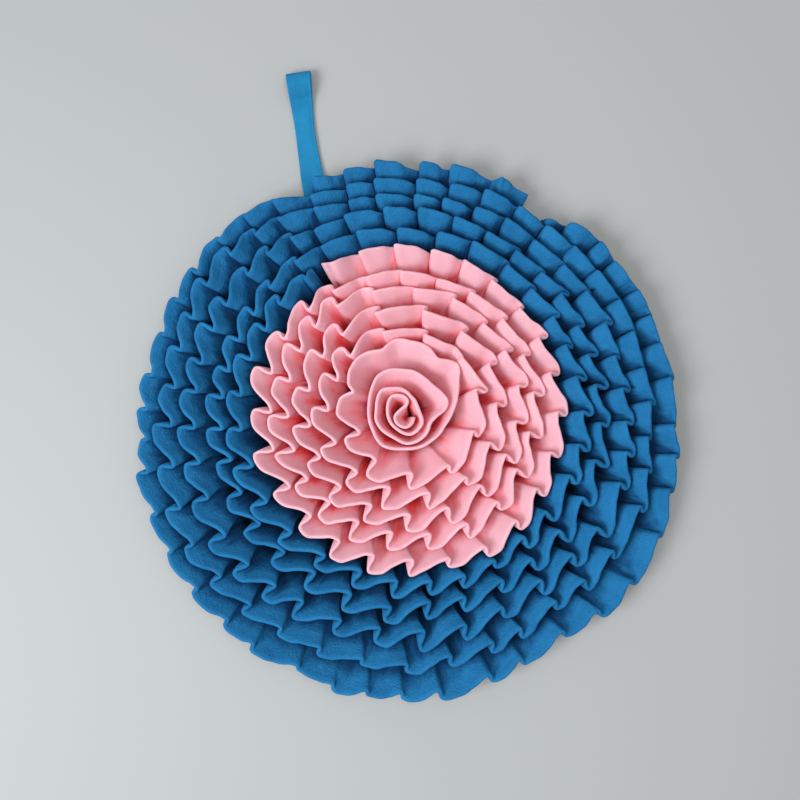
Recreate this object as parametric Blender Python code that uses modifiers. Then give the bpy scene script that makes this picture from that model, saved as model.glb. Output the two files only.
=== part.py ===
"""Snuffle mat, in metres, +Z up.

A felt disc lies on the floor. Strips of cloth are gathered along one edge and sewn on it by that edge
in one spiral that steps inwards clockwise: a short blue length, a long blue strip, and a pink strip
whose inner end is rolled into a rosette. Each strip leans outwards over the row outside it. A strap
folded double makes the hanging loop at the rim.

The origin is the middle of the disc's underside. +X is to the right and +Y away from the viewer.
"""

import math
import random
from collections import namedtuple

import bmesh
import bpy
from mathutils import Vector
from mathutils.bvhtree import BVHTree

MM = 0.001

# Driving dimensions, in millimetres and degrees.
BACKING_RADIUS = 161.0
BACKING_THICKNESS = 1.8
GAP = 0.3  # between pieces that touch in the real mat

CLOTH_THICKNESS = 2.4
SEAM_ANGLE = 112.0  # where each turn of the spiral starts
LARGEST_WAVE = 5.8  # half the travel of a free edge across its row
BASE_WAVE = 1.6  # the same at the sewn edge
WAVE_CLEARANCE = 0.8  # kept between the sewn edges of neighbouring rows
INNER_TILT = 0.35  # how much less the inner rows' waves go down
TUCK = (0.5, 1.35)  # how far folds are tucked under their neighbours
FOLD_SEED = 7

BLUE_END_LAST = 0.136  # places where the strips start and end, in turns from the seam
BLUE_FIRST = 0.152
BLUE_LAST = 4.966
PINK_FIRST = 4.976
PINK_LAST = 9.95
START_HEIGHT = 0.62  # the long blue strip's first corner is tucked away, lower than the rest
START_SPAN = 0.025

ROW_CLEARANCE = 0.6  # kept between a row and the row outside it
SETTLE_ROUNDS = 16  # how often the folds are drawn in for it, at most
CLOSEST_ENDS = 0.008  # no crest lies nearer than this to a strip's ends, in turns
RAISED = 0.15  # how far the sewn edges stand off the disc beyond the gap
# Where a row is measured against the one outside it: shares of the way on to the next column, and up.
SETTLE_SAMPLES = [(s, h) for s in (0.0, 0.5) for h in (0.25, 0.5, 0.75, 1.0)]

# Each row is one turn of the spiral. The first five columns give the mean radius of the free edge
# about the turn's centre, clockwise from the seam, and centre_y is where that centre lies. lean and
# lean_south are the strip's slant from upright at the seam and across from it. height is the strip's
# width from the sewn edge to the free edge. crest is the angle of one fold's crest at the lower left,
# and folds is how many folds the row has.
Turn = namedtuple(
    "Turn", "north east south west north_west centre_y lean lean_south height crest folds"
)
TURNS = (
    Turn(173.0, 170.0, 166.5, 172.5, 168.0, 0.0, 60, 55, 30, 208.5, 43),
    Turn(160.0, 153.8, 151.8, 159.0, 154.0, 3.2, 58, 53, 30, 209.0, 40),
    Turn(147.8, 140.2, 139.0, 145.0, 137.5, 6.5, 55, 50, 30, 211.0, 38),
    Turn(133.5, 126.0, 127.2, 124.5, 123.0, 9.1, 52, 46, 30, 212.0, 34),
    Turn(120.3, 113.0, 113.7, 112.0, 111.0, 11.0, 49, 43, 30, 214.0, 30),
    Turn(108.3, 99.0, 103.0, 96.4, 97.0, 12.3, 46, 42, 30, 206.5, 25),
    Turn(91.5, 84.8, 85.8, 83.5, 85.0, 12.3, 42, 40, 30, 214.0, 22),
    Turn(81.5, 75.0, 71.8, 69.5, 69.7, 12.3, 38, 38, 30, 200.0, 18),
    Turn(67.4, 61.6, 57.6, 57.0, 56.3, 12.3, 34, 38, 31, 207.0, 14),
    Turn(55.6, 48.3, 46.5, 41.4, 43.8, 12.3, 32, 41, 33, 198.0, 11),
    Turn(45.0, 33.5, 23.4, 23.4, 28.5, 12.3, 27, 27, 34, 0.0, 0),
)
STATIONS = {"north": 0.0, "east": 0.25, "south": 0.5, "west": 0.75, "north_west": 0.95}

# How much further out than the table of turns the rim lies, in millimetres, clockwise from the seam.
# The blue rows inside it share this, down to nothing at the pink cloth's first row.
Spread = namedtuple("Spread", "place out")
SPREADS = (
    Spread(0.00, 1.5),
    Spread(0.06, 0.0),
    Spread(0.16, 2.0),
    Spread(0.25, 4.2),
    Spread(0.31, 5.6),
    Spread(0.34, 8.6),
    Spread(0.38, 12.0),
    Spread(0.41, 9.8),
    Spread(0.45, 3.6),
    Spread(0.50, 4.0),
    Spread(0.57, 7.4),
    Spread(0.65, 4.0),
    Spread(0.72, 6.2),
    Spread(0.79, 2.2),
    Spread(0.87, 1.0),
    Spread(0.93, 8.2),
    Spread(0.97, 7.6),
    Spread(1.00, 1.5),
)
SPREAD_TURNS = 5  # after this many turns the rows aren't drawn out any more

# How the folds differ round the mat. place is how far round from the seam, clockwise. tilt is how
# much a wave goes down as it goes out: past 90 the raised folds also reach further out. rim and
# second are how bold the folds of the two outer rows are. drift is how far, in folds, the crests of
# a row lie back from those of the row outside it.
Side = namedtuple("Side", "place tilt rim second drift")
SIDES = (
    Side(0.00, 84, 0.72, 0.85, 0.10),
    Side(0.06, 100, 0.85, 0.95, 0.05),
    Side(0.14, 88, 0.75, 0.90, 0.14),
    Side(0.25, 76, 0.62, 0.85, 0.24),
    Side(0.34, 60, 0.55, 0.80, 0.24),
    Side(0.44, 36, 0.46, 0.80, 0.20),
    Side(0.53, 18, 0.42, 0.62, 0.17),
    Side(0.60, 12, 0.34, 0.40, 0.17),
    Side(0.68, 8, 0.36, 0.62, 0.17),
    Side(0.76, 8, 0.50, 0.85, 0.20),
    Side(0.86, 14, 0.56, 0.90, 0.20),
    Side(0.94, 46, 0.60, 0.85, 0.14),
    Side(1.00, 84, 0.72, 0.85, 0.10),
)

# One fold, clockwise from its crest: where its points lie along the fold at the sewn edge and at the
# free edge, how far a strong fold moves the latter back under the fold before it, and how far in or
# out the cloth stands there, from -1 for a trough to 1 for a crest.
Bend = namedtuple("Bend", "base free tuck out")
BENDS = (
    Bend(0.00, 0.00, 0.00, 0.92),
    Bend(0.10, 0.065, 0.03, 0.42),
    Bend(0.20, 0.075, 0.12, -0.40),
    Bend(0.31, 0.10, 0.15, -0.94),
    Bend(0.46, 0.27, 0.09, -0.94),
    Bend(0.64, 0.56, 0.03, -0.20),
    Bend(0.82, 0.80, 0.00, 0.78),
)

# The rolled end of the pink strip, clockwise. Each row gives an angle about the rosette's middle, how
# far from it the free edge and the sewn edge are there, and how high the free edge stands. swing is
# how far on the sewn edge lies from the free edge, in degrees.
CoilPoint = namedtuple("CoilPoint", "angle radius base height swing", defaults=(0,))
COIL = (
    CoilPoint(490, 49.4, 29.5, 29.5, -5),
    CoilPoint(478, 47.6, 29.3, 30.0, -3),
    CoilPoint(464, 47.6, 28.0, 30.0),
    CoilPoint(454, 49.0, 27.0, 29.0),
    CoilPoint(442, 46.8, 25.8, 29.0),
    CoilPoint(428, 43.8, 24.6, 29.5),
    CoilPoint(411, 45.4, 23.2, 28.0),
    CoilPoint(399, 43.8, 22.0, 28.4),
    CoilPoint(384, 38.0, 20.6, 29.6),
    CoilPoint(366, 31.6, 19.2, 30.6),
    CoilPoint(346, 26.8, 18.2, 31.4),
    CoilPoint(323, 24.5, 17.2, 32.0),
    CoilPoint(290, 22.4, 15.6, 32.5),
    CoilPoint(238, 23.8, 13.8, 32.5),
    CoilPoint(200, 22.6, 13.2, 32.5),
    CoilPoint(167, 23.4, 13.0, 32.5),
    CoilPoint(134, 28.6, 12.8, 31.5),
    CoilPoint(112, 30.8, 12.6, 31.0),
    CoilPoint(75, 28.4, 12.2, 31.0),
    CoilPoint(44, 26.4, 11.8, 31.5),
    CoilPoint(21, 29.0, 11.4, 31.0),
    CoilPoint(8, 26.6, 11.0, 31.5),
    CoilPoint(-2, 20.6, 10.5, 32.0),
    CoilPoint(-18, 17.6, 10.0, 32.5),
    CoilPoint(-44, 18.5, 9.4, 32.5),
    CoilPoint(-85, 18.4, 8.8, 32.5),
    CoilPoint(-152, 17.6, 8.3, 32.5),
    CoilPoint(-187, 18.4, 8.0, 32.5),
    CoilPoint(-226, 21.6, 7.8, 32.0),
    CoilPoint(-262, 17.2, 7.6, 32.5),
    CoilPoint(-290, 12.6, 7.2, 33.0),
    CoilPoint(-318, 10.4, 6.4, 33.0),
    CoilPoint(-384, 12.6, 4.8, 33.0),
    CoilPoint(-431, 13.2, 4.2, 33.0),
    CoilPoint(-473, 10.3, 3.9, 33.0),
    CoilPoint(-518, 10.0, 3.8, 33.0),
    CoilPoint(-561, 12.0, 3.8, 33.0),
    CoilPoint(-595, 14.6, 3.6, 32.5),
    CoilPoint(-622, 12.6, 2.8, 32.5),
    CoilPoint(-640, 9.8, 2.0, 33.0, -10),
    CoilPoint(-640, 6.6, 1.9, 33.0, -52),
    CoilPoint(-594, 4.2, 1.9, 33.0, -126),
    CoilPoint(-534, 6.4, 1.7, 33.0, -219),
    CoilPoint(-490, 7.2, 1.4, 33.0, -295),
)
ROSETTE_MIDDLE = (-3.0, 9.9)

LOOP_SHEET = 1.3
LOOP_WIDTH_ROOT = 12.5
LOOP_WIDTH_TIP = 16.5
LOOP_ROOT = (-59.3, 142.5)
LOOP_TIP = (-72.9, 234.6)
LOOP_UPPER_START = 4.5  # the upper layer ends short of the lower one
LOOP_EYE_LENGTH = 17.0
LOOP_EYE_HEIGHT = 7.0

BLUE = (0.016, 0.155, 0.42, 1.0)
PINK = (0.93, 0.42, 0.47, 1.0)
FELT = (0.02, 0.12, 0.30, 1.0)


def spline(knots, at):
    """Smooth curve through (place, value) knots, read at a place."""
    last = len(knots) - 2
    i = next((n for n in range(last) if at < knots[n + 1][0]), last)
    (p0, v0), (p1, v1) = knots[i], knots[i + 1]
    before = knots[i - 1] if i > 0 else knots[i]
    after = knots[i + 2] if i < last else knots[i + 1]
    slope0 = (v1 - before[1]) / (p1 - before[0])
    slope1 = (after[1] - v0) / (after[0] - p0)
    span = p1 - p0
    f = min(1.0, max(0.0, (at - p0) / span))
    return (
        v0 * (1 + 2 * f) * (1 - f) ** 2
        + slope0 * span * f * (1 - f) ** 2
        + v1 * f * f * (3 - 2 * f)
        + slope1 * span * f * f * (f - 1)
    )


RADIUS_KNOTS = [
    (k + place, getattr(turn, name))
    for k, turn in enumerate(TURNS)
    for name, place in STATIONS.items()
]
CENTRE_KNOTS = [(k, turn.centre_y) for k, turn in enumerate(TURNS)]
HEIGHT_KNOTS = [(k, turn.height) for k, turn in enumerate(TURNS)]
SIDE_KNOTS = {
    name: [(side.place, getattr(side, name)) for side in SIDES] for name in Side._fields[1:]
}
LEAN_KNOTS = [
    (k + place, lean)
    for k, turn in enumerate(TURNS)
    for place, lean in ((0.0, turn.lean), (0.5, turn.lean_south))
]


def radius_at(place):
    """Mean radius of the free edge about the turn's centre, with the blue rows drawn out."""
    share = max(0.0, 1 - place / SPREAD_TURNS)
    return spline(RADIUS_KNOTS, place) + share * spline(SPREADS, place % 1)


def angle_at(place):
    return math.radians(SEAM_ANGLE - 360 * place)


def centre_at(place):
    return spline(CENTRE_KNOTS, place)


def lean_at(place):
    return math.radians(spline(LEAN_KNOTS, place))


def side_at(name, place):
    """One column of the table of sides, read at a place."""
    return spline(SIDE_KNOTS[name], place % 1)


def tilt_at(place):
    """How much a wave goes down as it goes out."""
    less = min(1.0, max(0.0, (place - 4.0) / 3.0))
    return math.radians(side_at("tilt", place) * (1 - INNER_TILT * less))


def reach_at(place):
    return spline(HEIGHT_KNOTS, place) * math.sin(lean_at(place))


def row_gap(place, base=False):
    """Distance from the row at this place in to the next one, at the free or the sewn edge."""
    gap = radius_at(place) - radius_at(place + 1)
    gap += (centre_at(place) - centre_at(place + 1)) * math.sin(angle_at(place))
    if base:
        gap -= reach_at(place) - reach_at(place + 1)
    return gap


def base_wave_at(place):
    """Largest wave of the sewn edge that keeps this row clear of the rows on both sides."""
    gap = row_gap(place, True)
    if place >= 1:
        gap = min(gap, row_gap(place - 1, True))
    room = 0.5 * (gap - CLOTH_THICKNESS / math.cos(lean_at(place)) - WAVE_CLEARANCE)
    return max(0.2, min(BASE_WAVE, room))


def crest_places(count, first, last, rng):
    """Places of the crests from first to last: folds are closer together at the top of the mat."""
    widths = []
    for n in range(count):
        middle = first + (last - first) * (n + 0.5) / count
        widths.append(rng.uniform(0.72, 1.32) * (1 - 0.13 * math.sin(angle_at(middle))))
    scale = (last - first) / sum(widths)
    places = [first]
    for width in widths:
        places.append(places[-1] + width * scale)
    return places


def crest_place(turn_number):
    crest = TURNS[turn_number].crest
    return turn_number + (SEAM_ANGLE - crest) % 360 / 360


def slackness(place):
    """How bold a fold is: the rim's are shallow, the second row's a little less so."""
    if place < 1:
        return side_at("rim", place)
    if place < 2:
        return side_at("second", place)
    return 1.0


def most_crowded(row):
    """The crest of a closed row whose two neighbours are nearest each other."""
    count = len(row)
    spans = []
    for n in range(count):
        before = row[n - 1][0] - (1 if n == 0 else 0)
        after = row[(n + 1) % count][0] + (1 if n == count - 1 else 0)
        spans.append((after - before, n))
    return min(spans)[1]


def relax(row, middle, reach):
    """Spreads the crests near one of a closed row more evenly."""
    count = len(row)
    for step in range(-reach, reach + 1):
        n = (middle + step) % count
        before = row[n - 1][0] - (1 if n == 0 else 0)
        after = row[(n + 1) % count][0] + (1 if n == count - 1 else 0)
        row[n][0] = 0.5 * row[n][0] + 0.25 * (before + after)


def next_row(row, count, rng):
    """The crests one row further in: each lies a little back from its neighbour outside.

    Where the row has fewer folds, the narrowest are left out and their neighbours spread.
    """
    inner = []
    for (place, strength), after in zip(row, [c[0] for c in row[1:]] + [row[0][0] + 1]):
        shift = (after - place) * side_at("drift", place) * rng.uniform(0.6, 1.4)
        inner.append([place + 1 - shift, 0.4 * strength + 0.6 * rng.uniform(0.7, 1.3)])
    while len(inner) > count:
        left_out = most_crowded(inner)
        del inner[left_out]
        for _ in range(6):
            relax(inner, left_out, 3)
    return inner


def even_out(crests):
    """Widens folds that came out far narrower than their neighbours."""
    for _ in range(30):
        for n in range(1, len(crests) - 1):
            before = crests[n][0] - crests[n - 1][0]
            after = crests[n + 1][0] - crests[n][0]
            if min(before, after) < 0.62 * max(before, after):
                crests[n][0] += 0.15 * (after - before)


def spiral_folds():
    """Every crest of the spiral as [place, strength], from the rim to the rolled end."""
    rng = random.Random(FOLD_SEED)
    anchor = crest_place(0)
    outer = crest_places(6, 0.0, BLUE_END_LAST, rng)
    outer += crest_places(25, BLUE_FIRST, anchor, rng)
    outer += crest_places(12, anchor, 1.0, rng)[1:-1]
    row = [[place, rng.uniform(0.7, 1.3)] for place in outer]
    rows = [row]
    for turn in TURNS[1:-1]:
        row = next_row(row, turn.folds, rng)
        rows.append(row)
    crests = rows[0] + sorted(crest for row in rows[1:] for crest in row)
    even_out(crests)
    return crests


def strip_folds(crests, first, last):
    """Folds of one strip, as lists of start, end, strength and tuck. The last isn't tucked."""
    rng = random.Random(round(first * 1000))
    inside = [c for c in crests if first + CLOSEST_ENDS < c[0] < last - CLOSEST_ENDS]
    places = [first] + [c[0] for c in inside] + [last]
    strengths = [1.0] + [c[1] for c in inside]
    folds = [
        [start, end, strength * slackness(start), rng.uniform(*TUCK) * slackness(start)]
        for start, end, strength in zip(places, places[1:], strengths)
    ]
    folds[-1][3] = 0.0
    return folds


def strip_column(place_base, place_free, wave, height):
    """The base and free point of the strip where the cloth stands this far out, -1 to 1."""
    points = []
    for place, base in ((place_base, True), (place_free, False)):
        angle = angle_at(place)
        lean = lean_at(place)
        radius = radius_at(place) - reach_at(place)
        z = BACKING_THICKNESS + GAP + 0.5 * CLOTH_THICKNESS * math.sin(lean) + RAISED
        if base:
            radius += wave * base_wave_at(place)
        else:
            tilt = tilt_at(place)
            out = wave * LARGEST_WAVE
            radius += height * reach_at(place) + out * math.cos(tilt)
            z += height * spline(HEIGHT_KNOTS, place) * math.cos(lean) - out * math.sin(tilt)
        y = centre_at(place) + radius * math.sin(angle)
        points.append((radius * math.cos(angle), y, z))
    return points


def strip_columns(folds, start_height=1.0, start_span=0.0):
    """Columns as points. Near the start the strip may be lower, where its corner is tucked away."""
    first = folds[0][0]
    made = []
    for start, end, strength, tuck in folds:
        width = end - start
        tuck = tuck * min(1.0, max(0.0, (strength - 0.25) * 2.2))
        for bend in BENDS:
            base = start + bend.base * width
            free = start + (bend.free - tuck * bend.tuck) * width
            if start == first:
                free = max(free, start + bend.base * 0.9 * width)
            height = 1.0
            if start_span and base - first < start_span:
                height = start_height + (1 - start_height) * (base - first) / start_span
            made.append(strip_column(base, free, bend.out * strength, height))
    made.append(strip_column(end, end, strength, 1.0))
    return made


def row_tree(columns, owners, low, high):
    """A search tree over the part of a strip whose folds start from low to high."""
    chosen = [n for n, place in enumerate(owners) if low <= place < high]
    if len(chosen) < 2:
        return None, []
    points = []
    for n in chosen:
        points += [Vector(columns[n][0]), Vector(columns[n][1])]
    faces = [(2 * n, 2 * n + 2, 2 * n + 3, 2 * n + 1) for n in range(len(chosen) - 1)]
    return BVHTree.FromPolygons(points, faces), chosen


def settle(strips, fixed):
    """Draws the folds in until every row is clear of the row outside it. The coil stays as it is."""
    for _ in range(SETTLE_ROUNDS):
        columns, owners, source = [], [], []
        for strip in strips:
            made = strip_columns(strip)
            for n, column in enumerate(made):
                fold = strip[min(n // len(BENDS), len(strip) - 1)]
                columns.append(column)
                owners.append(fold[0])
                source.append(fold)
        columns += fixed
        owners += [10.0 + n / len(fixed) for n in range(len(fixed))]
        source += [None] * len(fixed)
        crowded = set()
        for quarter in range(40):
            here = 0.25 * quarter
            tree, chosen = row_tree(columns, owners, here - 0.12, here + 0.31)
            inner = [n for n, place in enumerate(owners) if here + 1 <= place < here + 1.25]
            for n, m in zip(inner, inner[1:]):
                for share, height in SETTLE_SAMPLES:
                    low = Vector(columns[n][0]).lerp(Vector(columns[m][0]), share)
                    high = Vector(columns[n][1]).lerp(Vector(columns[m][1]), share)
                    point = low.lerp(high, height)
                    found = tree.find_nearest(point, CLOTH_THICKNESS + ROW_CLEARANCE)
                    if found[0] is not None:
                        crowded.add(n)
                        crowded.add(chosen[found[2]])
        tight = {id(source[n]): source[n] for n in crowded if source[n]}
        for fold in tight.values():
            fold[2] = max(0.12, 0.9 * fold[2])
        if not tight:
            break


def sheet_from_columns(name, columns, thickness, colour, collection):
    """One closed sheet: an open grid through the columns, given its thickness."""
    mesh = bpy.data.meshes.new(name)
    grid = bmesh.new()
    rows = len(columns[0])
    bmesh.ops.create_grid(grid, x_segments=len(columns) - 1, y_segments=rows - 1, size=1)
    ordered = sorted(grid.verts, key=lambda v: (round(v.co.x, 6), round(v.co.y, 6)))
    for vertex, point in zip(ordered, [p for column in columns for p in column]):
        vertex.co = Vector(point) * MM
    bmesh.ops.triangulate(grid, faces=grid.faces[:], quad_method="SHORT_EDGE")
    bmesh.ops.recalc_face_normals(grid, faces=grid.faces[:])
    grid.to_mesh(mesh)
    grid.free()
    sheet = bpy.data.objects.new(name, mesh)
    collection.objects.link(sheet)
    solidify = sheet.modifiers.new("Thickness", "SOLIDIFY")
    solidify.thickness = thickness * MM
    solidify.offset = 0.0
    sheet.data.materials.append(colour)
    return sheet


def material(name, colour, roughness):
    made = bpy.data.materials.new(name)
    made.use_nodes = True
    shader = made.node_tree.nodes["Principled BSDF"]
    shader.inputs["Base Color"].default_value = colour
    shader.inputs["Roughness"].default_value = roughness
    shader.inputs["Metallic"].default_value = 0.0
    return made


def build_backing(collection, colour):
    bpy.ops.mesh.primitive_cylinder_add(
        vertices=72,
        radius=BACKING_RADIUS * MM,
        depth=BACKING_THICKNESS * MM,
        location=(0, 0, 0.5 * BACKING_THICKNESS * MM),
    )
    disc = bpy.context.object
    disc.name = "backing"
    disc.data.materials.append(colour)
    for owner in list(disc.users_collection):
        owner.objects.unlink(disc)
    collection.objects.link(disc)


def coil_columns(steps):
    """Columns of the rolled end, on smooth curves through the coil's points."""
    low = BACKING_THICKNESS + GAP + 0.48 * CLOTH_THICKNESS
    knots = []
    for point in COIL:
        sewn = math.radians(point.angle + point.swing)
        free = math.radians(point.angle)
        knots.append((point.base * math.cos(sewn), point.base * math.sin(sewn), low))
        knots.append((point.radius * math.cos(free), point.radius * math.sin(free), point.height))
    lines = [
        [[(n, knot[axis]) for n, knot in enumerate(knots[side::2])] for axis in range(3)]
        for side in (0, 1)
    ]
    made = []
    for n in range(1, (len(COIL) - 1) * steps + 1):
        column = []
        for line in lines:
            x, y, z = [spline(axis_knots, n / steps) for axis_knots in line]
            column.append((ROSETTE_MIDDLE[0] + x, ROSETTE_MIDDLE[1] + y, z))
        made.append(column)
    return made


def build_strips(collection, blue, pink):
    crests = spiral_folds()
    coil = coil_columns(2)
    end_folds = strip_folds(crests, 0.0, BLUE_END_LAST)
    blue_folds = strip_folds(crests, BLUE_FIRST, BLUE_LAST)
    pink_folds = strip_folds(crests, PINK_FIRST, PINK_LAST)
    settle([end_folds, blue_folds, pink_folds], coil)
    outer_end = strip_columns(end_folds)
    outer = strip_columns(blue_folds, START_HEIGHT, START_SPAN)
    inner = strip_columns(pink_folds) + coil
    sheet_from_columns("blue_ruffle_end", outer_end, CLOTH_THICKNESS, blue, collection)
    sheet_from_columns("blue_ruffle", outer, CLOTH_THICKNESS, blue, collection)
    sheet_from_columns("pink_ruffle", inner, CLOTH_THICKNESS, pink, collection)


def loop_profile():
    """Side view of the strap: (distance from the root, height), out below and back above."""
    length = math.dist(LOOP_ROOT, LOOP_TIP)
    half = 0.5 * LOOP_SHEET
    on_disc = BACKING_THICKNESS + GAP + half
    on_floor = half
    step = LOOP_SHEET + GAP
    eye = length - LOOP_EYE_LENGTH
    top = on_floor + LOOP_SHEET + LOOP_EYE_HEIGHT
    middle = 0.5 * (on_floor + top)
    return [
        (0.0, on_disc),
        (20.0, on_disc),
        (29.0, on_floor),
        (eye, on_floor),
        (length - 4.0, on_floor),
        (length - 1.2, on_floor + 1.2),
        (length, middle),
        (length - 1.2, top - 1.2),
        (length - 4.0, top),
        (eye + 5.0, top - 1.0),
        (eye, on_floor + step + 1.6),
        (eye - 7.0, on_floor + step),
        (29.0, on_floor + step),
        (20.0, on_disc + step),
        (LOOP_UPPER_START, on_disc + step),
    ]


def build_loop(collection, colour):
    root = Vector(LOOP_ROOT)
    along = (Vector(LOOP_TIP) - root).normalized()
    across = Vector((along.y, -along.x))
    length = math.dist(LOOP_ROOT, LOOP_TIP)
    columns = []
    for distance, z in loop_profile():
        share = distance / length
        width = LOOP_WIDTH_ROOT + (LOOP_WIDTH_TIP - LOOP_WIDTH_ROOT) * share
        centre = root + along * distance
        columns.append([(*(centre + across * side * width / 2), z) for side in (-1, 1)])
    sheet_from_columns("hanging_loop", columns, LOOP_SHEET, colour, collection)


def main():
    for old in list(bpy.data.objects):
        bpy.data.objects.remove(old, do_unlink=True)
    collection = bpy.data.collections.new("snuffle_mat")
    bpy.context.scene.collection.children.link(collection)
    blue = material("blue_fleece", BLUE, 0.95)
    pink = material("pink_cloth", PINK, 0.85)
    felt = material("backing_felt", FELT, 0.95)
    build_backing(collection, felt)
    build_strips(collection, blue, pink)
    build_loop(collection, blue)


main()
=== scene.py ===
"""Looks of the snuffle mat: the strips as fine folded cloth on the rows of the CAD solids.

The rows and the places of the folds follow the solids. The folds' shapes, the rolled end and the
strap's outline are finer here. Lengths are in millimetres up to where a mesh is made, and in metres
for lights, camera and cut sizes. Angles are in degrees, anticlockwise from the right. A place on the
spiral is counted in turns from the rim's seam, clockwise and inwards.
"""

import math
import random
from collections import namedtuple
from dataclasses import dataclass

import bpy
import numpy as np
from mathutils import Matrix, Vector
from mathutils.bvhtree import BVHTree


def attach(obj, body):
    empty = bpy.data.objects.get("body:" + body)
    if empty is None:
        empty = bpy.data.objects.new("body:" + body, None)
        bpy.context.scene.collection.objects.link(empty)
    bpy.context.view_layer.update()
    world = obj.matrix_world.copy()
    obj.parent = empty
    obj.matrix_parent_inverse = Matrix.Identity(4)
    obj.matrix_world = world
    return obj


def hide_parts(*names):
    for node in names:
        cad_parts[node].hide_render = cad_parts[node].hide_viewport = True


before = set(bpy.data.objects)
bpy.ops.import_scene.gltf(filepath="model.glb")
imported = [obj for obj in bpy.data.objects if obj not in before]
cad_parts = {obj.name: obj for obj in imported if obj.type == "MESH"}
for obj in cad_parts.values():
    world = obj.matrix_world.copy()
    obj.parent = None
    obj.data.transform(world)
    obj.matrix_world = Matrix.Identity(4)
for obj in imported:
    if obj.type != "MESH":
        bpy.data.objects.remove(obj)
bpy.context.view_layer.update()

MM = 0.001

# Sizes shared with the solids.
BACKING_RADIUS = 161.0
BACKING_THICKNESS = 1.8
GAP = 0.3
CLOTH_THICKNESS = 2.4
SEAM_ANGLE = 112.0  # where each turn of the spiral starts
LARGEST_WAVE = 5.8  # half the travel of a free edge across its row
BASE_WAVE = 1.6  # the same at the sewn edge
SMALLEST_BASE_WAVE = 0.2
WAVE_CLEARANCE = 0.8  # kept between the sewn edges of neighbouring rows

BLUE_END_LAST = 0.136  # places where the strips start and end
BLUE_FIRST = 0.152
BLUE_LAST = 4.966
PINK_FIRST = 4.976
PINK_LAST = 9.95
COIL_FIRST = 10.0

# The turns of the spiral, from the rim inwards: radius of the free edge at five places, how far up
# the mat the turn's centre lies, the row's lean off the upright at the seam and across from it, its
# width from the sewn edge to the free edge, and how many folds it has.
Turn = namedtuple(
    "Turn", "north east south west north_west centre_y lean lean_south height folds"
)
TURNS = (
    Turn(173.0, 170.0, 166.5, 172.5, 168.0, 0.0, 60, 55, 30, 43),
    Turn(160.0, 153.8, 151.8, 159.0, 154.0, 3.2, 58, 53, 30, 40),
    Turn(147.8, 140.2, 139.0, 145.0, 137.5, 6.5, 55, 50, 30, 38),
    Turn(133.5, 126.0, 127.2, 124.5, 123.0, 9.1, 52, 46, 30, 34),
    Turn(120.3, 113.0, 113.7, 112.0, 111.0, 11.0, 49, 43, 30, 30),
    Turn(108.3, 99.0, 103.0, 96.4, 97.0, 12.3, 46, 42, 30, 25),
    Turn(91.5, 84.8, 85.8, 83.5, 85.0, 12.3, 42, 40, 30, 22),
    Turn(81.5, 75.0, 71.8, 69.5, 69.7, 12.3, 38, 38, 30, 18),
    Turn(67.4, 61.6, 57.6, 57.0, 56.3, 12.3, 34, 38, 31, 14),
    Turn(55.6, 48.3, 46.5, 41.4, 43.8, 12.3, 32, 41, 33, 11),
    Turn(45.0, 33.5, 23.4, 23.4, 28.5, 12.3, 27, 27, 34, 0),
)
STATIONS = {"north": 0.0, "east": 0.25, "south": 0.5, "west": 0.75, "north_west": 0.95}

# How much further out than the table of turns the rim lies, in millimetres, clockwise from the seam.
# The blue rows inside it share this, down to nothing at the pink cloth's first row.
Spread = namedtuple("Spread", "place out")
SPREADS = (
    Spread(0.00, 1.5),
    Spread(0.06, 0.0),
    Spread(0.16, 2.0),
    Spread(0.25, 4.2),
    Spread(0.31, 5.6),
    Spread(0.34, 8.6),
    Spread(0.38, 12.0),
    Spread(0.41, 9.8),
    Spread(0.45, 3.6),
    Spread(0.50, 4.0),
    Spread(0.57, 7.4),
    Spread(0.65, 4.0),
    Spread(0.72, 6.2),
    Spread(0.79, 2.2),
    Spread(0.87, 1.0),
    Spread(0.93, 8.2),
    Spread(0.97, 7.6),
    Spread(1.00, 1.5),
)
SPREAD_TURNS = 5  # from this turn on the rows aren't drawn out

# How the folds differ round the mat. place is how far round from the seam, clockwise. tilt is how
# much a wave goes down as it goes out: past 90 the raised folds also reach further out. inner is by
# what share it goes down less in the rows from the third on. rim and second are how bold the folds
# of the two outer rows are. drift is how far, in folds, the crests of a row lie back from those of
# the row outside it. round is how broad and rounded the crests are.
Side = namedtuple("Side", "place tilt inner rim second drift round")
SIDES = (
    Side(0.00, 98, 0.05, 0.72, 0.85, 0.10, 0.0),
    Side(0.06, 113, 0.05, 0.85, 0.95, 0.05, 0.0),
    Side(0.14, 96, 0.20, 0.75, 0.90, 0.14, 0.0),
    Side(0.25, 76, 0.42, 0.62, 0.85, 0.24, 0.0),
    Side(0.34, 58, 0.42, 0.62, 0.85, 0.24, 0.0),
    Side(0.44, 34, 0.35, 0.60, 0.85, 0.20, 0.1),
    Side(0.53, 18, 0.20, 0.48, 0.66, 0.17, 0.2),
    Side(0.60, 12, 0.20, 0.34, 0.40, 0.17, 0.2),
    Side(0.68, 8, 0.20, 0.36, 0.62, 0.17, 0.5),
    Side(0.76, 8, 0.20, 0.50, 0.85, 0.20, 0.9),
    Side(0.86, 14, 0.20, 0.56, 0.90, 0.20, 1.0),
    Side(0.94, 54, 0.20, 0.60, 0.85, 0.14, 0.6),
    Side(1.00, 98, 0.05, 0.72, 0.85, 0.10, 0.0),
)
# Where the inner rows' waves start to go down less, in turns, and over how many turns they do.
INNER_FADE = (1.2, 1.5)
CENTRE_TILT = 0.35  # near the rosette they go down less by at least this share
CENTRE_FADE = (4.0, 3.0)

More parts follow.
